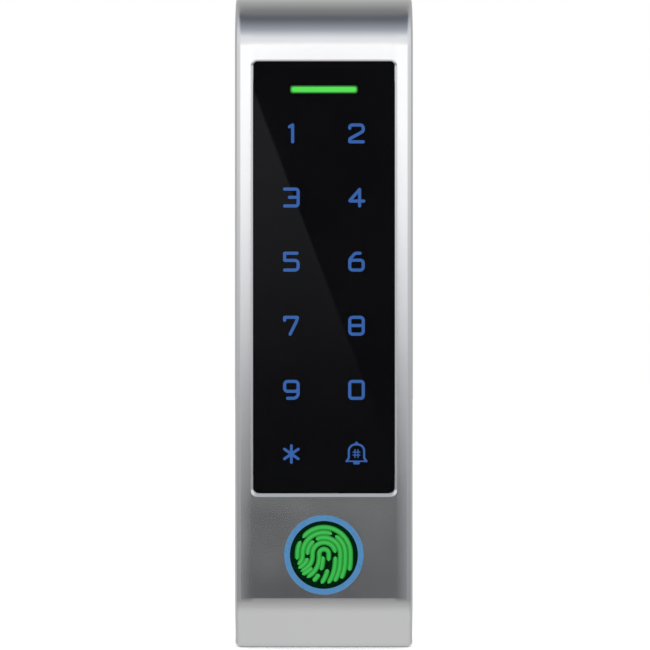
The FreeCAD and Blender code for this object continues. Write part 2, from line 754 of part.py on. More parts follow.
def tamper_spring():
    """Coil between the switch's ceiling and the plunger's collar."""
    gap = SPRING_WIRE + 0.02
    start = MAIN_BACK - 0.3 - gap
    length = start - COLLAR_FACE - gap
    helix = Part.makeHelix(length / SPRING_TURNS, length, SPRING_RADIUS)
    corners = [
        Vector(SPRING_RADIUS + sx * SPRING_WIRE, 0, sz * SPRING_WIRE)
        for sx, sz in ((-1, -1), (1, -1), (1, 1), (-1, 1))
    ]
    section = Part.makePolygon(corners + corners[:1])
    coil = Part.Wire(helix.Edges).makePipeShell([section], True, True)
    coil.rotate(Vector(0, 0, 0), Vector(1, 0, 0), -90)
    coil.translate(Vector(TAMPER[0], -start, TAMPER[1]))
    return coil


# Fingerprint sensor

def sensor_ring():
    """Light guide: a ring flush with the front, on a flange behind the front wall."""
    body = rod(0, SENSOR_Z, RING_RADIUS, RING_FACE, RING_BACK)
    body = body.makeFillet(0.25, front_edges(body, RING_FACE))
    flange = rod(0, SENSOR_Z, FLANGE_RADIUS, RING_BACK, RING_BACK - 1.0)
    return merge([body, flange]).cut(rod(0, SENSOR_Z, LENS_RADIUS, RING_FACE, RING_BACK - 1.0))


def sensor_gasket():
    return tube(0, SENSOR_Z, FLANGE_RADIUS, RING_RADIUS + 0.15, RING_BACK + GASKET_THICK, RING_BACK)


def sensor_window():
    disc = rod(0, SENSOR_Z, LENS_RADIUS, LENS_FACE, LENS_FACE - LENS_THICK)
    return disc.makeChamfer(0.12, front_edges(disc, LENS_FACE))


def sensor_body():
    top = LENS_FACE - LENS_THICK
    body = rod(0, SENSOR_Z, LENS_RADIUS - 0.05, top, BOARD_FACE)
    return body.cut(centred(0, SENSOR_Z, 10.2, 10.2, top, top - 1.0))


def sensor_chip():
    top = LENS_FACE - LENS_THICK
    return centred(0, SENSOR_Z, 10.0, 10.0, top, top - 0.9)


def sensor_board():
    return rod(0, SENSOR_Z, FLANGE_RADIUS, BOARD_FACE, BOARD_BACK)


def ring_leds():
    leds = []
    for i in range(8):
        led = centred(9.2, 0, 1.4, 1.4, BOARD_FACE + 0.8, BOARD_FACE)
        led.rotate(Vector(0, 0, 0), Vector(0, 1, 0), 22.5 + 45 * i)
        led.translate(Vector(0, 0, SENSOR_Z))
        leds.append(led)
    return Part.makeCompound(leds)


def sensor_clamp():
    """Pressed strap that holds the sensor in from behind, with a stiffening rib."""
    z = SENSOR_Z - 0.9
    back = BOARD_BACK - CLAMP_THICK
    plate = rounded_plate(0, z, 33.4, 9.2, 1.5, BOARD_BACK, back)
    for x, screw_z in CLAMP_SCREWS:
        plate = plate.cut(rod(x, screw_z, 1.0, BOARD_BACK, back))
    return merge([plate, rounded_plate(0, z, 20.0, 3.0, 1.0, back, back - 0.8)])


def clamp_screws():
    return Part.makeCompound([pan_screw(x, z, BOARD_BACK - CLAMP_THICK, 4.0) for x, z in CLAMP_SCREWS])


def ribbon_socket(z, board, side):
    """Flat-cable connector on the back of a board, open towards side (1 up, -1 down)."""
    width, height, thick = CONNECTOR
    face = board - RIBBON_INSET
    body = centred(0, z, width, height, board, board - thick)
    return body.cut(centred(0, z + side * height / 2, RIBBON_X + 0.1, height + 2, face, face - RIBBON))


def sensor_connector():
    return ribbon_socket(SENSOR_PLUG_Z, BOARD_BACK, 1)


def ribbon_connector():
    return ribbon_socket(MAIN_PLUG_Z, MAIN_BACK, -1)


def sensor_ribbon():
    """Flat cable from the sensor board up to the main board, in two gentle bends."""
    low_y = RIBBON_INSET + RIBBON / 2 - BOARD_BACK
    high_y = RIBBON_INSET + RIBBON / 2 - MAIN_BACK
    route = [
        Vector(0, low_y, SENSOR_PLUG_Z - 0.2),
        Vector(0, low_y, -44.2),
        Vector(0, high_y, -38.4),
        Vector(0, high_y, MAIN_PLUG_Z + 0.2),
    ]
    wire = rounded_wire(route, [0, 3.0, 3.0, 0])
    band = Part.Face(wire.makeOffset2D(RIBBON / 2, 2)).extrude(Vector(RIBBON_X, 0, 0))
    band.translate(Vector(-RIBBON_X / 2, 0, 0))
    return band


# Rear cover

def rear_cover():
    low, high = COVER_Z
    cover = rounded_plate(0, (low + high) / 2, 2 * COVER_X, high - low, 0.5, COVER_FACE, COVER_BACK)
    for x, z in COVER_SCREWS:
        sink = Part.makeCone(0.9, 1.9, 1.0, Vector(x, -COVER_BACK - 1.0, z), Vector(0, 1, 0))
        cover = cover.cut(rod(x, z, 0.9, COVER_FACE, COVER_BACK)).cut(sink)
    cover = cover.cut(rod(0, OUTLET_Z, GROMMET_RADIUS, COVER_FACE, COVER_BACK))
    cover = cover.cut(rod(*TAMPER, PLUNGER_RADIUS + 0.2, COVER_FACE, COVER_BACK))
    x, z = BUZZER
    for i in range(5):
        cover = cover.cut(rounded_plate(x, z + (i - 2) * 1.8, 7.0, 0.8, 0.35, COVER_FACE, COVER_BACK))
    return cover


def rear_gasket():
    low, high = COVER_Z
    width = 2 * COVER_X - 0.1
    tall = high - low - 0.1
    return frame(width, tall, width - 1.2, tall - 1.2, 0.4, (low + high) / 2, SEAT_DEPTH, COVER_FACE)


def countersunk_screw(x, z):
    head = Part.makeCone(0.86, 1.86, 1.0, Vector(x, -COVER_BACK - 1.0, z), Vector(0, 1, 0))
    shank = rod(x, z, SCREW_RADIUS, COVER_FACE + 5.0, COVER_BACK + 0.9)
    socket = rod(x, z, 0.6, COVER_BACK + 0.6, COVER_BACK - 1)
    return merge([shank, head]).cut(socket)


def cover_screws():
    return Part.makeCompound([countersunk_screw(x, z) for x, z in COVER_SCREWS])


def cable_grommet():
    z = OUTLET_Z
    front = COVER_FACE + GROMMET_LIP
    back = COVER_BACK - GROMMET_LIP
    wide = GROMMET_RADIUS + 1.2
    body = rod(0, z, GROMMET_RADIUS, front, back)
    inner = rod(0, z, wide, front, COVER_FACE)
    outer = Part.makeCone(wide, wide - 0.7, GROMMET_LIP, Vector(0, -COVER_BACK, z), Vector(0, 1, 0))
    return merge([body, inner, outer]).cut(rod(0, z, GROMMET_BORE, front, back))


# Back plate and locking screw

def hook():
    """Cradle open at the top, which the casing's bar drops into."""
    x0, x1 = HOOK_X
    origin = Vector(x0, -HINGE_DEPTH, HINGE_Z)
    along = Vector(1, 0, 0)
    ring = Part.makeCylinder(HOOK_RADIUS, x1 - x0, origin, along)
    lower = ring.common(block(x0, x1, DEPTH, 0, HINGE_Z - HOOK_RADIUS, HINGE_Z))
    neck = block(x0, x1, HINGE_DEPTH, 0, HINGE_Z - HOOK_RADIUS, HINGE_Z)
    foot = block(x0, x1, PLATE_THICK, 0, PLATE_Z[1] - 2.0, HINGE_Z)
    return merge([lower, neck, foot]).cut(Part.makeCylinder(HOOK_BORE, x1 - x0, origin, along))


def back_plate():
    low, high = PLATE_Z
    sheet = rounded_plate(0, (low + high) / 2, 2 * PLATE_X, high - low, 1.5, PLATE_THICK, 0)
    left = hook()
    right = left.mirror(Vector(0, 0, 0), Vector(1, 0, 0))
    lug = block(-6.0, 6.0, LUG_REACH, PLATE_THICK / 2, *LUG_Z)
    plate = merge([sheet, left, right, lug])
    for z in (-WALL_HOLE_Z, WALL_HOLE_Z):
        plate = plate.cut(rod(0, z, WALL_HOLE_RADIUS, PLATE_THICK, 0))
    plate = plate.cut(rod(0, OUTLET_Z, OUTLET_RADIUS, PLATE_THICK, 0))
    lock = Part.makeCylinder(LOCK_RADIUS + 0.2, LUG_Z[1] - LUG_Z[0], Vector(0, -LOCK_DEPTH, LUG_Z[0]))
    return plate.cut(lock)


def security_screw():
    axis_y = -LOCK_DEPTH
    head = Part.makeCylinder(HEAD_RADIUS, HEAD_TOP - HEAD_LOW, Vector(0, axis_y, HEAD_LOW))
    shank = Part.makeCylinder(LOCK_RADIUS, SCREW_TIP - HEAD_TOP, Vector(0, axis_y, HEAD_TOP))
    rim = [e for e in shank.Edges if e.BoundBox.ZMin > SCREW_TIP - 0.01]
    screw = merge([head, shank.makeChamfer(0.35, rim)])
    points = []
    for i in range(12):
        radius = 1.3 if i % 2 == 0 else 0.95
        angle = math.radians(30 * i)
        points.append(Vector(radius * math.cos(angle), axis_y + radius * math.sin(angle), HEAD_LOW))
    star_socket = prism(points, 0, Vector(0, 0, 1.0))
    pin = Part.makeCylinder(0.35, 1.0, Vector(0, axis_y, HEAD_LOW))
    return screw.cut(star_socket).fuse(pin)


def screw_washer():
    """Captive washer, just above the head."""
    foot = Vector(0, -LOCK_DEPTH, HEAD_TOP + 0.04)
    ring = Part.makeCylinder(HEAD_RADIUS + 0.1, WASHER_THICK, foot)
    return ring.cut(Part.makeCylinder(LOCK_RADIUS + 0.06, WASHER_THICK, foot))


def build():
    legends = key_legends()
    nodes = {
        "front_housing": front_housing(),
        "touch_glass": touch_glass(legends),
        "glass_adhesive": glass_adhesive(),
        "key_legends": legends,
        "status_light_bar": light_bar(GLASS_DEPTH, SHEET_FACE - SHEET_THICK),
        "diffuser_sheet": diffuser_sheet(),
        "touch_electrodes": touch_electrodes(),
        "keypad_board": keypad_board(),
        "key_leds": key_leds(),
        "status_leds": status_leds(),
        "touch_controller": touch_controller(),
        "board_link": board_link(),
        "main_board": main_board(),
        "board_screws": board_screws(),
        "processor": processor(),
        "memory_chip": memory_chip(),
        "lock_relay": lock_relay(),
        "buzzer": buzzer(),
        "power_inductor": power_inductor(),
        "power_capacitors": power_capacitors(),
        "voltage_regulator": voltage_regulator(),
        "harness_header": harness_header(),
        "tamper_switch": tamper_switch(),
        "tamper_plunger": tamper_plunger(),
        "tamper_spring": tamper_spring(),
        "sensor_ring": sensor_ring(),
        "sensor_gasket": sensor_gasket(),
        "sensor_window": sensor_window(),
        "sensor_body": sensor_body(),
        "sensor_chip": sensor_chip(),
        "sensor_board": sensor_board(),
        "ring_leds": ring_leds(),
        "sensor_clamp": sensor_clamp(),
        "clamp_screws": clamp_screws(),
        "sensor_connector": sensor_connector(),
        "ribbon_connector": ribbon_connector(),
        "sensor_ribbon": sensor_ribbon(),
        "rear_gasket": rear_gasket(),
        "rear_cover": rear_cover(),
        "cover_screws": cover_screws(),
        "cable_grommet": cable_grommet(),
        "back_plate": back_plate(),
        "security_screw": security_screw(),
        "screw_washer": screw_washer(),
    }
    os.makedirs("parts", exist_ok=True)
    for name, shape in nodes.items():
        shape.exportStep(f"parts/{name}.step")
        box = shape.BoundBox
        spans = [(box.XMin, box.XMax), (box.YMin, box.YMax), (box.ZMin, box.ZMax)]
        sides = " ".join(f"{low:.2f}..{high:.2f}" for low, high in spans)
        solids = len(shape.Solids)
        print(f"{name:18} solids {solids} valid {shape.isValid()} volume {shape.Volume:.2f} {sides}")


build()
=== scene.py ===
import json
import math

import bmesh
import bpy
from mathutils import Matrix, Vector


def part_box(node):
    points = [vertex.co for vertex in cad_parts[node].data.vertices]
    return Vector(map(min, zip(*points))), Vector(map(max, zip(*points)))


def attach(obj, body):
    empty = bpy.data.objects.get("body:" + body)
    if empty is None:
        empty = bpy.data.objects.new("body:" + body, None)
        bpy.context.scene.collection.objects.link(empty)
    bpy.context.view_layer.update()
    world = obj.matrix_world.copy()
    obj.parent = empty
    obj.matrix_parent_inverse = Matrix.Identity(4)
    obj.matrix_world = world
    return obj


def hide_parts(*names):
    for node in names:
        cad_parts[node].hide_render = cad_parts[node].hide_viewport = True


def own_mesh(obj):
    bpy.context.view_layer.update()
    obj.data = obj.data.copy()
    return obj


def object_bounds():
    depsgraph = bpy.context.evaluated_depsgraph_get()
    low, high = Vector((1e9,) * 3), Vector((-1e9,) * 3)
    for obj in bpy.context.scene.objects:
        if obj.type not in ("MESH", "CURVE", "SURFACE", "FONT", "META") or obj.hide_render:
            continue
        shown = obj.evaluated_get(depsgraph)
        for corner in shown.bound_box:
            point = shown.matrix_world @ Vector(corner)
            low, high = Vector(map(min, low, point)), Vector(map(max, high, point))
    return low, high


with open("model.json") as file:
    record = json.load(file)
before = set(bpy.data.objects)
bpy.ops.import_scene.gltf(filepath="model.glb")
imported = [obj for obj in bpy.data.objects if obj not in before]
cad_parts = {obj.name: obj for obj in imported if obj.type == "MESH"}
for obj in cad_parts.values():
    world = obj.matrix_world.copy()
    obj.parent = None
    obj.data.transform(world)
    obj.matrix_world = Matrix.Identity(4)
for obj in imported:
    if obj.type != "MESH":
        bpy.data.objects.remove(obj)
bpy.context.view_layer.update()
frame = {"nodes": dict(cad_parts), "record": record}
MM = 0.001
NOISE_SPREAD = (0.3, 0.7)     # nearly all values of a noise lie between these


# Node helpers

def combine(tree, operation, *values):
    """Math node over numbers and sockets."""
    node = tree.nodes.new("ShaderNodeMath")
    node.operation = operation
    for socket, value in zip(node.inputs, values):
        if isinstance(value, (int, float)):
            socket.default_value = value
        else:
            tree.links.new(value, socket)
    return node.outputs[0]


class Shader:
    """A material whose Principled shader is reached as .bsdf, with short ways to add nodes."""

    def __init__(self, name):
        self.material = bpy.data.materials.new(name)
        self.material.use_nodes = True
        self.tree = self.material.node_tree
        self.bsdf = self.tree.nodes["Principled BSDF"]
        self.place = self.tree.nodes.new("ShaderNodeTexCoord").outputs["Object"]

    def set(self, **values):
        for name, value in values.items():
            self.bsdf.inputs[name.replace("_", " ")].default_value = value
        return self

    def add(self, kind, **properties):
        node = self.tree.nodes.new(kind)
        for name, value in properties.items():
            setattr(node, name, value)
        return node

    def link(self, source, target):
        self.tree.links.new(source, target)

    def stretched(self, scale):
        """Object coordinates scaled per axis, in cycles per metre."""
        mapping = self.add("ShaderNodeMapping")
        mapping.inputs["Scale"].default_value = scale
        self.link(self.place, mapping.inputs["Vector"])
        return mapping.outputs["Vector"]

    def noise(self, scale, detail=3.0, rough=0.55):
        node = self.add("ShaderNodeTexNoise")
        node.inputs["Scale"].default_value = 1.0
        node.inputs["Detail"].default_value = detail
        node.inputs["Roughness"].default_value = rough
        scale = scale if isinstance(scale, tuple) else (scale, scale, scale)
        self.link(self.stretched(scale), node.inputs["Vector"])
        return node.outputs["Fac"]

    def remap(self, value, low, high, new_low, new_high):
        node = self.add("ShaderNodeMapRange")
        for name, number in (
            ("From Min", low), ("From Max", high), ("To Min", new_low), ("To Max", new_high)
        ):
            node.inputs[name].default_value = number
        self.link(value, node.inputs["Value"])
        return node.outputs["Result"]

    def weighted(self, a, share_a, b, share_b):
        """Sum of two values, each times its share."""
        parts = [combine(self.tree, "MULTIPLY", *pair) for pair in ((a, share_a), (b, share_b))]
        return combine(self.tree, "ADD", *parts)

    def mix(self, factor, a, b):
        node = self.add("ShaderNodeMix", data_type="RGBA")
        self.link(factor, node.inputs["Factor"])
        for socket, value in ((node.inputs[6], a), (node.inputs[7], b)):
            if isinstance(value, tuple):
                socket.default_value = (*value, 1.0)
            else:
                self.link(value, socket)
        return node.outputs[2]

    def vary(self, noise, colour, low, high):
        """The colour made darker or lighter by the noise, from low to high times itself."""
        factor = self.remap(noise, *NOISE_SPREAD, 0, 1)
        return self.mix(factor, shade(colour, low), shade(colour, high))

    def colour(self, source):
        self.link(source, self.bsdf.inputs["Base Color"])
        return self

    def roughness(self, source, low, high):
        spread = self.remap(source, *NOISE_SPREAD, low, high)
        self.link(spread, self.bsdf.inputs["Roughness"])
        return self

    def bump(self, *layers):
        """Each layer is (height source, strength, distance in metres)."""
        normal = None
        for height, strength, distance in layers:
            node = self.add("ShaderNodeBump")
            node.inputs["Strength"].default_value = strength
            node.inputs["Distance"].default_value = distance
            self.link(height, node.inputs["Height"])
            if normal is not None:
                self.link(normal, node.inputs["Normal"])
            normal = node.outputs["Normal"]
        self.link(normal, self.bsdf.inputs["Normal"])
        return self


def shade(colour, factor):
    return tuple(c * factor for c in colour)


# Materials

def satin_metal(name, colour, rough, grain, variation=0.06, bump=0.05, spread=0.04):
    """Bare or anodised metal. grain is the texture's cycles per metre, overall or on each axis."""
    s = Shader(name).set(Metallic=1.0)
    broad = s.noise(60.0, detail=2.0)
    fine = s.noise(grain, detail=4.0, rough=0.65)
    tint = s.vary(broad, colour, 1 - variation, 1 + variation / 2)
    tint = s.mix(s.remap(fine, 0.35, 0.65, 0, 0.5), tint, shade(colour, 1 - 2 * variation))
    s.colour(tint)
    s.roughness(s.weighted(broad, 0.5, fine, 0.5), rough - spread, rough + spread)
    return s.bump((fine, bump, 0.02 * MM)).material


def plastic(name, colour, rough, grain=9000.0, bump=0.25, spread=0.12):
    """Moulded plastic with a fine spark-eroded skin."""
    s = Shader(name)
    broad = s.noise(90.0, detail=2.0)
    skin = s.noise(grain, detail=2.0)
    s.colour(s.vary(broad, colour, 1 - spread, 1 + spread))
    s.roughness(s.weighted(broad, 0.4, skin, 0.6), rough - 0.06, rough + 0.06)
    return s.bump((skin, bump, 0.02 * MM)).material


def rubber(name, colour):
    s = Shader(name)
    dust = s.noise(700.0, detail=5.0, rough=0.7)
    skin = s.noise(5000.0)
    s.colour(s.mix(s.remap(dust, 0.45, 0.75, 0, 1), colour, shade(colour, 1.9)))
    s.roughness(dust, 0.62, 0.82)
    return s.bump((skin, 0.3, 0.03 * MM)).material


def gloss_black(name, colour, rough):
    """Back-printed glass: the colour is the print's, the gloss is the glass's."""
    s = Shader(name).set(IOR=1.5)
    haze = s.noise(45.0, detail=3.0)
    s.colour(s.vary(haze, colour, 0.85, 1.15))
    s.roughness(haze, rough, rough * 1.6)
    return s.bump((s.noise(25.0, detail=1.0), 0.01, 0.1 * MM)).material


def lit(name, body, glow, rough=0.25):
    """Translucent plastic lit from behind."""
    s = Shader(name).set(Emission_Color=(*glow, 1.0), Emission_Strength=1.0)
    cloud = s.noise(500.0, detail=3.0)
    s.colour(s.vary(cloud, body, 0.8, 1.2))
    s.roughness(cloud, rough, rough * 1.3)
    return s.bump((s.noise(3000.0), 0.4 * rough, 0.01 * MM)).material


def solder_mask(name, colour):
    """Circuit board: lacquer over copper tracks that show through as lighter, raised lines."""
    s = Shader(name)
    tracks = s.add("ShaderNodeTexBrick", offset=0.35, squash=0.6, squash_frequency=3)
    tracks.inputs["Scale"].default_value = 1.0
    tracks.inputs["Mortar Size"].default_value = 0.035
    tracks.inputs["Brick Width"].default_value = 1.9
    tracks.inputs["Row Height"].default_value = 0.55
    swap = s.add("ShaderNodeMapping")
    swap.inputs["Rotation"].default_value = (math.radians(90), 0, 0)
    swap.inputs["Scale"].default_value = (500.0, 500.0, 500.0)
    s.link(s.place, swap.inputs["Vector"])
    s.link(swap.outputs["Vector"], tracks.inputs["Vector"])
    line = tracks.outputs["Fac"]
    cloud = s.noise(250.0)
    base = s.vary(cloud, colour, 0.8, 1.1)
    s.colour(s.mix(line, base, shade(colour, 1.8)))
    s.roughness(cloud, 0.25, 0.4)
    return s.bump((line, 0.4, 0.02 * MM)).material


SLOTS = {
    "casing_metal": satin_metal(
        "casing_satin", (0.72, 0.72, 0.725), 0.18, (9000.0, 9000.0, 2600.0),
        variation=0.02, bump=0.03, spread=0.02,
    ),
    "plate_steel": satin_metal("plate_zinc", (0.52, 0.53, 0.55), 0.36, 1200.0, 0.12, 0.2),
    "panel_glass": gloss_black("panel_black", (0.0034, 0.0034, 0.0040), 0.008),
    "light_blue": lit("legend_blue", (0.004, 0.01, 0.03), (0.037, 0.108, 0.34), 0.03),
    "light_green": lit("bar_edge_green", (0.002, 0.015, 0.002), (0.035, 0.27, 0.034), 0.03),
    "adhesive": rubber("adhesive_black", (0.02, 0.02, 0.02)),
    "diffuser": plastic("diffuser_white", (0.8, 0.8, 0.8), 0.5),
    "copper": satin_metal("pad_copper", (0.85, 0.45, 0.28), 0.3, 3000.0),
    "board_black": solder_mask("mask_black", (0.012, 0.014, 0.012)),
    "board_green": solder_mask("mask_green", (0.012, 0.14, 0.05)),
    "led": plastic("led_white", (0.75, 0.75, 0.68), 0.35),
    "chip": plastic("chip_black", (0.025, 0.025, 0.027), 0.45),
    "connector": plastic("connector_nylon", (0.72, 0.68, 0.56), 0.42),
    "relay_case": plastic("case_grey", (0.07, 0.07, 0.075), 0.38),
    "can": satin_metal("can_bright", (0.75, 0.75, 0.76), 0.22, 4000.0),
    "ferrite": plastic("ferrite_grey", (0.06, 0.06, 0.06), 0.6),
    "steel": satin_metal("screw_zinc", (0.5, 0.5, 0.52), 0.3, 5000.0, 0.1),
    "stainless": satin_metal("stainless", (0.58, 0.57, 0.56), 0.28, (6000.0, 6000.0, 900.0), 0.08),
    "cover_plastic": plastic("cover_black", (0.022, 0.022, 0.024), 0.5, 4500.0, 0.45),
    "rubber": rubber("rubber_black", (0.018, 0.018, 0.018)),
    "flat_cable": plastic("ribbon_amber", (0.55, 0.28, 0.05), 0.3),
}


def paint(name, material):
    for material_slot in frame["nodes"][name].material_slots:
        material_slot.material = material


for entry in frame["record"]["subparts"]:
    paint(entry["node"], SLOTS[entry["material_slot"]])
paint("sensor_ring", lit("ring_blue", (0.01, 0.03, 0.06), (0.055, 0.19, 0.385)))
# The window's dark green tint is painted glow: it stands in for the green light of the lit sign
# within a black glass.
paint("sensor_window", gloss_black("lens_painted_glow", (0.001, 0.014, 0.004), 0.05))


# Added pieces. Their measures are in millimetres.

SUNK = 0.01               # how far the lit pieces sink into what they lie on

# Bright core of the status bar
CORE_INSET = 0.32
CORE_RISE = 0.03
CORE_SEGMENTS = 32
CORE_PROFILE = ((1.0, 0.4), (0.9, 1.0), (0.8, 1.0))    # parts of the half width and of the rise

# Tamper spring
COIL_TURNS = 4
COIL_CLOSED = 0.75        # turns lying flat at each end
COIL_WIRE = 0.12          # radius of the wire
COIL_STEPS = 28           # sections in one turn
COIL_SIDES = 10

# Print sign on the sensor's window
RIDGE_RADII = (0, 1.15, 2.75, 3.95, 5.15, 6.4, 1.95)
RIDGE_CENTRE = 0.24
RIDGE_HALF_WIDTH = 0.36
RIDGE_RISE = 0.08
GLOW_HALF_WIDTH = 0.66
GLOW_RISE = 0.03
LEG = 10.0                # length of a leg when t is 1 past its end
RIGHT_LEG_BEND = 0.005    # how far a leg leaves its line, times the cube of its length
LEFT_LEG_BEND = 0.0138    # the same, as a part of the arch's radius
INNER_LINE_X = -0.25
INNER_LINE_BEND = 0.0083
OUTER_STEPS = 40          # sections in one arch, for rings numbered above LAST_INNER_RING
INNER_STEPS = 28
LAST_INNER_RING = 2
LEAST_STEPS = 12
RIBBON_PROFILE = ((-1.0, 0.0), (-0.8, 0.75), (0.0, 1.0), (0.8, 0.75), (1.0, 0.0))
TAPER_STEPS = 3           # sections over which a ribbon's end narrows
TIP = 0.03                # what is left of its width at the very end
RIDGES = [                # ring, start and end, with t as in ridge_point
    (5, -0.41, 0.80), (5, 0.83, 1.14),
    (4, -0.60, 0.33), (4, 0.37, 1.26),
    (3, -0.67, 0.67), (3, 0.70, 1.03), (3, 1.09, 1.35),
    (2, -0.72, -0.05), (2, 0.02, 1.43),
    (1, -0.72, -0.36), (1, -0.18, 1.58),
    (0, 0.05, 0.40), (0, 0.48, 0.66),
    (6, 1.32, 1.50),
]


def ridge_point(ring, t):
    """Point in millimetres: t from 0 to 1 runs over the arch, and beyond that down its legs."""
    radius = RIDGE_RADII[ring]
    if t < 0:
        s = -t * LEG
        return radius - RIGHT_LEG_BEND * s ** 3, RIDGE_CENTRE - s
    if t > 1:
        s = (t - 1) * LEG
        return -radius * (1 + LEFT_LEG_BEND * s ** 3), RIDGE_CENTRE - s
    return radius * math.cos(math.pi * t), RIDGE_CENTRE + radius * math.sin(math.pi * t)


def inner_line_point(t):
    """The short lines inside the innermost arch."""
    s = t * LEG
    return INNER_LINE_X - INNER_LINE_BEND * s ** 3, RIDGE_CENTRE - s


def skin(bm, rings):
    """Closes a row of rings of vertices into a solid."""
    for a, b in zip(rings, rings[1:]):
        for j in range(len(a)):
            k = (j + 1) % len(a)
            bm.faces.new((a[j], a[k], b[k], b[j]))
    bm.faces.new(rings[0])
    bm.faces.new(rings[-1])


def ribbon(bm, points, half_width, low, high):
    """Low domed ribbon along (x, z) points, its back on the plane y = -low."""
    count = len(points)
    rings = []
    for i, (x, z) in enumerate(points):
        before = points[max(i - 1, 0)]
        after = points[min(i + 1, count - 1)]
        dx = after[0] - before[0]
        dz = after[1] - before[1]
        size = math.hypot(dx, dz)
        across = (-dz / size, dx / size)
        end = min(i, count - 1 - i) / TAPER_STEPS
        taper = math.sqrt(1 - (1 - min(end, 1.0)) ** 2) * (1 - TIP) + TIP
        ring = []
        for side, lift in RIBBON_PROFILE:
            reach = side * half_width * taper
            height = low + (high - low) * lift * taper
            ring.append(bm.verts.new((x + across[0] * reach, -height, z + across[1] * reach)))
        rings.append(ring)
    skin(bm, rings)


def finished(bm, name, material):
    """Makes the mesh a smooth piece that rides on the housing."""
    bmesh.ops.recalc_face_normals(bm, faces=bm.faces)
    mesh = bpy.data.meshes.new(name)
    bm.to_mesh(mesh)
    bm.free()
    for polygon in mesh.polygons:
        polygon.use_smooth = True
    mesh.materials.append(material)
    piece = bpy.data.objects.new(name, mesh)
    bpy.context.scene.collection.objects.link(piece)
    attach(piece, "housing")
    return piece


def core_mesh(node, inset, rise):
    """Thin rounded pad over the middle of a lit bar. The bar's darker edge stays in view."""
    low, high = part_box(node)
    half_x = (high.x - low.x) / 2 - inset
    half_z = (high.z - low.z) / 2 - inset
    middle = ((low.x + high.x) / 2, (low.z + high.z) / 2)
    bm = bmesh.new()
    straight = half_x - half_z
    rings = []
    layers = [(1.0, -SUNK * MM)] + [(width, lift * rise) for width, lift in CORE_PROFILE]
    for width, lift in layers:
        radius = half_z * width
        ring = []
        for i in range(CORE_SEGMENTS):
            a = 2 * math.pi * (i + 0.5) / CORE_SEGMENTS
            x = middle[0] + math.copysign(straight, math.cos(a)) + radius * math.cos(a)
            z = middle[1] + radius * math.sin(a)
            ring.append(bm.verts.new((x, low.y - lift, z)))
        rings.append(ring)
    skin(bm, rings)
    return bm


def coil_mesh(node):
    """Round-wire coil along Y that fills the node's box, with closed end turns."""
    low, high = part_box(node)
    wire = COIL_WIRE * MM
    radius = (high.x - low.x) / 2 - wire
    closed_rise = 2 * wire * COIL_CLOSED
    open_rise = high.y - low.y - 2 * wire - 2 * closed_rise
    open_turns = COIL_TURNS - 2 * COIL_CLOSED
    bm = bmesh.new()
    rings = []
    for i in range(COIL_TURNS * COIL_STEPS + 1):
        turn = i / COIL_STEPS
        opened = min(max(turn - COIL_CLOSED, 0), open_turns)
        rise = (turn - opened) * 2 * wire + opened * open_rise / open_turns
        across = Vector((math.cos(2 * math.pi * turn), 0, math.sin(2 * math.pi * turn)))
        middle = (low + high) / 2 + across * radius
        middle.y = low.y + wire + rise
        ring = []
        for j in range(COIL_SIDES):
            a = 2 * math.pi * j / COIL_SIDES
            outwards = across * math.cos(a) + Vector((0, math.sin(a), 0))
            ring.append(bm.verts.new(middle + outwards * wire))
        rings.append(ring)
    skin(bm, rings)
    return bm


def entry_of(entries, key, value):
    return next(entry for entry in entries if entry[key] == value)


def tamper_coil():
    """Stands for the plain CAD spring, on a mesh of its own."""
    record = frame["record"]
    slot = entry_of(record["subparts"], "node", "tamper_spring")["material_slot"]
    coil = finished(coil_mesh("tamper_spring"), "tamper_coil", SLOTS[slot])
    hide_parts("tamper_spring")
    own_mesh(coil)


def print_mesh(half_width, height):
    """Every ridge of the sign as a ribbon on the face of the sensor's window."""
    low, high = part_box("sensor_window")
    face = -low.y
    bm = bmesh.new()
    for ring, start, end in RIDGES:
        per_arch = OUTER_STEPS if ring > LAST_INNER_RING else INNER_STEPS
        steps = max(LEAST_STEPS, int((end - start) * per_arch))
        points = []
        for i in range(steps + 1):
            t = start + (end - start) * i / steps
            x, z = ridge_point(ring, t) if ring else inner_line_point(t)
            points.append(((low.x + high.x) / 2 + x * MM, (low.z + high.z) / 2 + z * MM))
        ribbon(bm, points, half_width * MM, face - SUNK * MM, face + height * MM)
    return bm


BAR_CORE = lit("bar_core_green", (0.004, 0.03, 0.004), (0.10, 0.72, 0.095), 0.03)
core = core_mesh("status_light_bar", CORE_INSET * MM, CORE_RISE * MM)
finished(core, "bar_core", BAR_CORE)
tamper_coil()
GLOW = lit("print_glow_green", (0.001, 0.03, 0.004), (0.001, 0.23, 0.012))
finished(print_mesh(GLOW_HALF_WIDTH, GLOW_RISE), "print_glow", GLOW)
RIDGE = lit("ridge_green", (0.003, 0.04, 0.006), (0.02, 0.42, 0.05))
finished(print_mesh(RIDGE_HALF_WIDTH, RIDGE_RISE), "print_ridges", RIDGE)


# Surroundings

def smooth_step(tree, value, low, high):
    node = tree.nodes.new("ShaderNodeMapRange")
    node.interpolation_type = "SMOOTHSTEP"
    node.inputs["From Min"].default_value = low
    node.inputs["From Max"].default_value = high
    tree.links.new(value, node.inputs["Value"])
    return node.outputs["Result"]


def up(degrees):
    return math.sin(math.radians(degrees))


def ramp(tree, height, stops):
    """Level by elevation, with straight lines between the stops."""
    node = tree.nodes.new("ShaderNodeValToRGB")
    tree.links.new(combine(tree, "MULTIPLY_ADD", height, 0.5, 0.5), node.inputs["Fac"])
    elements = node.color_ramp.elements
    while len(elements) < len(stops):
        elements.new(0.5)
    for element, (degrees, level) in zip(elements, stops):
        element.position = 0.5 + 0.5 * up(degrees)
        element.color = (level, level, level, 1.0)
    return node.outputs["Color"]


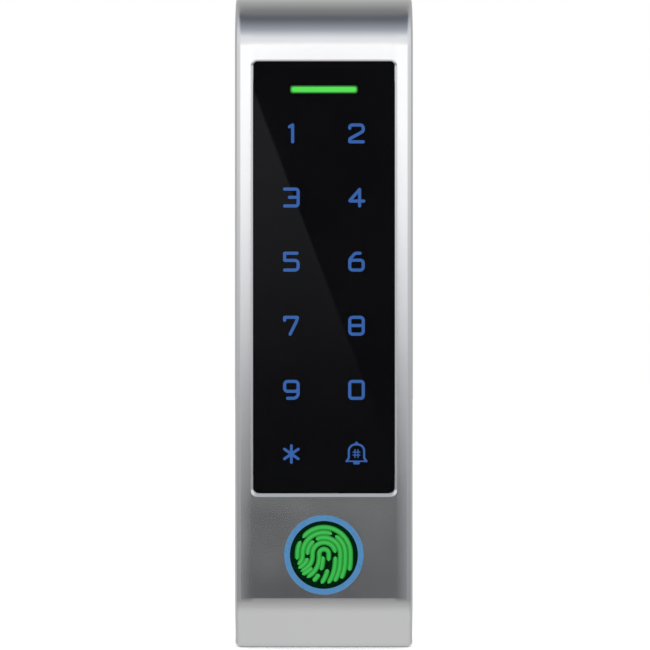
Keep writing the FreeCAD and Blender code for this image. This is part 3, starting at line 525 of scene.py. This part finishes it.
# Levels and coolness of the light by elevation, as (degrees above the horizon, value)
FRONT_LEVELS = [
    (-90, 0.70), (-47, 0.76), (-35, 0.66), (-25, 0.56), (-18, 0.48), (-13, 0.40), (-10.5, 0.2),
    (-9, 0.0), (-3, 0.0), (-1, 0.55), (0, 0.9), (2, 1.3), (4, 1.6), (6, 1.75), (8, 1.55),
    (12, 1.05), (16, 1.02), (20, 1.12), (25, 1.02), (30, 0.82), (40, 0.47), (50, 0.35),
    (60, 0.22), (70, 0.14), (80, 0.19), (90, 0.26),
]
COOLNESS = [
    (-90, 0), (-20, 0), (-8, 0.35), (0, 0.25), (8, 0), (20, 0.2), (35, 0.6), (50, 1), (70, 1),
    (90, 0.3),
]
COOL_LIGHT = (0.92, 1.0, 1.14)
SIDE_LEVELS = [
    (-90, 0.65), (-47, 0.83), (-20, 0.50), (-8, 0.31), (-5, 0.30), (-3, 0.42), (0, 0.67),
    (4, 0.88), (8, 1.0), (30, 0.9), (50, 0.6), (70, 0.3), (90, 0.26),
]
BACK_LEVELS = [(-90, 0.7), (0, 0.58), (40, 0.52), (60, 0.45), (70, 0.38), (80, 0.31), (90, 0.26)]

# Where things begin and end in the studio, as parts of a unit direction (x to the right, z up).
# Each pair is where a smooth step starts and where it is full.
WALL_LEVEL = 0.34
WALL_CENTRE = -0.02
WALL_SIDE = (0.02, 0.45)
WALL_TOP = (-0.03, 0.02)
WALL_FOOT = (-0.35, -0.12)
SIDES_BEGIN = (0.36, 0.60)
BACK_BEGINS = (-0.2, 0.2)
RIM_GAIN = 0.75
RIM_SIDE = (0.03, 0.10)
RIM_FOOT = (0.106, 0.110)
RIM_TOP = (0.11, 0.20)
WINDOW_SIDE = (0.031, 0.035)
WINDOW_FOOT = (-0.08, -0.05)
WINDOW_TOP = (0.107, 0.110)
CARD_LEVEL = 0.25
CARD_SLANT = (-0.935, -0.354)
CARD_EDGE = (-0.0070, -0.0062)
CARD_FADE = (-0.06, 0.09)


def studio_world():
    """The studio round the object, by direction, and plain white behind it.

    In front a broad soft light starts at the lens's height and fades upwards, with a dark gap
    below it, a pale table lower down and dim walls left and right. Where the camera stands, the
    glass sees a dark window with one slanting card in it.
    """
    world = bpy.data.worlds.new("studio")
    bpy.context.scene.world = world
    world.use_nodes = True
    tree = world.node_tree
    background = tree.nodes["Background"]
    direction = tree.nodes.new("ShaderNodeSeparateXYZ")
    tree.links.new(tree.nodes.new("ShaderNodeTexCoord").outputs["Generated"], direction.inputs[0])
    x, y, z = (direction.outputs[i] for i in range(3))

    def step(value, low, high):
        return smooth_step(tree, value, low, high)

    def times(first, *others):
        for other in others:
            first = combine(tree, "MULTIPLY", first, other)
        return first

    def opposite(value):
        return combine(tree, "SUBTRACT", 1.0, value)

    def blend(factor, a, b):
        return combine(tree, "ADD", times(opposite(factor), a), times(factor, b))

    width = combine(tree, "ABSOLUTE", x, 0.0)
    off_centre = combine(tree, "ABSOLUTE", combine(tree, "SUBTRACT", x, WALL_CENTRE), 0.0)
    walls = times(step(off_centre, *WALL_SIDE), WALL_LEVEL)
    walls = times(walls, opposite(step(z, *WALL_TOP)), step(z, *WALL_FOOT))
    front = combine(tree, "MAXIMUM", ramp(tree, z, FRONT_LEVELS), walls)
    level = blend(step(width, *SIDES_BEGIN), front, ramp(tree, z, SIDE_LEVELS))
    level = blend(step(y, *BACK_BEGINS), level, ramp(tree, z, BACK_LEVELS))

    facing = combine(tree, "LESS_THAN", y, 0.0)
    rim = times(
        opposite(step(width, *RIM_SIDE)), step(z, *RIM_FOOT), opposite(step(z, *RIM_TOP)), facing,
    )
    level = times(level, combine(tree, "ADD", times(rim, RIM_GAIN), 1.0))
    window = times(opposite(step(width, *WINDOW_SIDE)), step(z, *WINDOW_FOOT))
    window = times(window, opposite(step(z, *WINDOW_TOP)), facing)
    slant = combine(tree, "ADD", times(x, CARD_SLANT[0]), times(z, CARD_SLANT[1]))
    card = times(step(slant, *CARD_EDGE), step(z, *CARD_FADE), CARD_LEVEL)
    level = blend(window, level, card)
    seen = tree.nodes.new("ShaderNodeLightPath").outputs["Is Camera Ray"]
    tree.links.new(combine(tree, "MAXIMUM", level, seen), background.inputs["Strength"])
    tint = tree.nodes.new("ShaderNodeMix")
    tint.data_type = "RGBA"
    tint.inputs[6].default_value = (1.0, 1.0, 1.0, 1.0)
    tint.inputs[7].default_value = (*COOL_LIGHT, 1.0)
    tree.links.new(times(ramp(tree, z, COOLNESS), facing, opposite(seen)), tint.inputs["Factor"])
    tree.links.new(tint.outputs[2], background.inputs["Color"])


# Floor and its light

FLOOR_REACH = 2.0
FLOOR_GAP = 0.2 * MM
WASH_HEIGHT = 1.5
WASH_SIDE = 5.0
WASH_RADIANCE = 2.0


def floor_plane(height):
    bm = bmesh.new()
    corners = [(-1, -1), (1, -1), (1, 1), (-1, 1)]
    bm.faces.new([bm.verts.new((x * FLOOR_REACH, y * FLOOR_REACH, height)) for x, y in corners])
    mesh = bpy.data.meshes.new("floor")
    bm.to_mesh(mesh)
    bm.free()
    s = Shader("floor_white")
    haze = s.noise(8.0)
    s.colour(s.mix(haze, (0.84, 0.84, 0.84), (0.88, 0.88, 0.88)))
    s.roughness(haze, 0.6, 0.7)
    mesh.materials.append(s.material)
    floor = bpy.data.objects.new("floor", mesh)
    bpy.context.scene.collection.objects.link(floor)
    floor.visible_glossy = False
    return floor


def floor_wash(floor):
    """Square light from above that falls on the floor alone."""
    light = bpy.data.lights.new("floor_wash", "AREA")
    light.size = WASH_SIDE
    light.energy = WASH_RADIANCE * math.pi * WASH_SIDE ** 2
    lamp = bpy.data.objects.new("floor_wash", light)
    bpy.context.scene.collection.objects.link(lamp)
    lamp.location = (0.0, 0.0, WASH_HEIGHT)
    lamp.visible_camera = False
    receivers = bpy.data.collections.new("floor_only")
    receivers.objects.link(floor)
    lamp.light_linking.receiver_collection = receivers


studio_world()
low_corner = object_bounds()[0]
floor_wash(floor_plane(low_corner[2] - FLOOR_GAP))


# Camera, level and straight in front

VIEW_DISTANCE = 0.600
VIEW_SPAN = 0.156585           # width of the picture at the front of the object
CAMERA_X = 0.00026
SENSOR_WIDTH = 36.0
camera_data = bpy.data.cameras.new("camera")
camera_data.sensor_width = SENSOR_WIDTH
camera_data.lens = SENSOR_WIDTH * VIEW_DISTANCE / VIEW_SPAN
camera = bpy.data.objects.new("camera", camera_data)
bpy.context.scene.collection.objects.link(camera)
camera.location = (CAMERA_X, low_corner[1] - VIEW_DISTANCE, 0.0)
camera.rotation_euler = (math.radians(90), 0, 0)
bpy.context.scene.camera = camera
bpy.context.scene.view_settings.view_transform = "Standard"
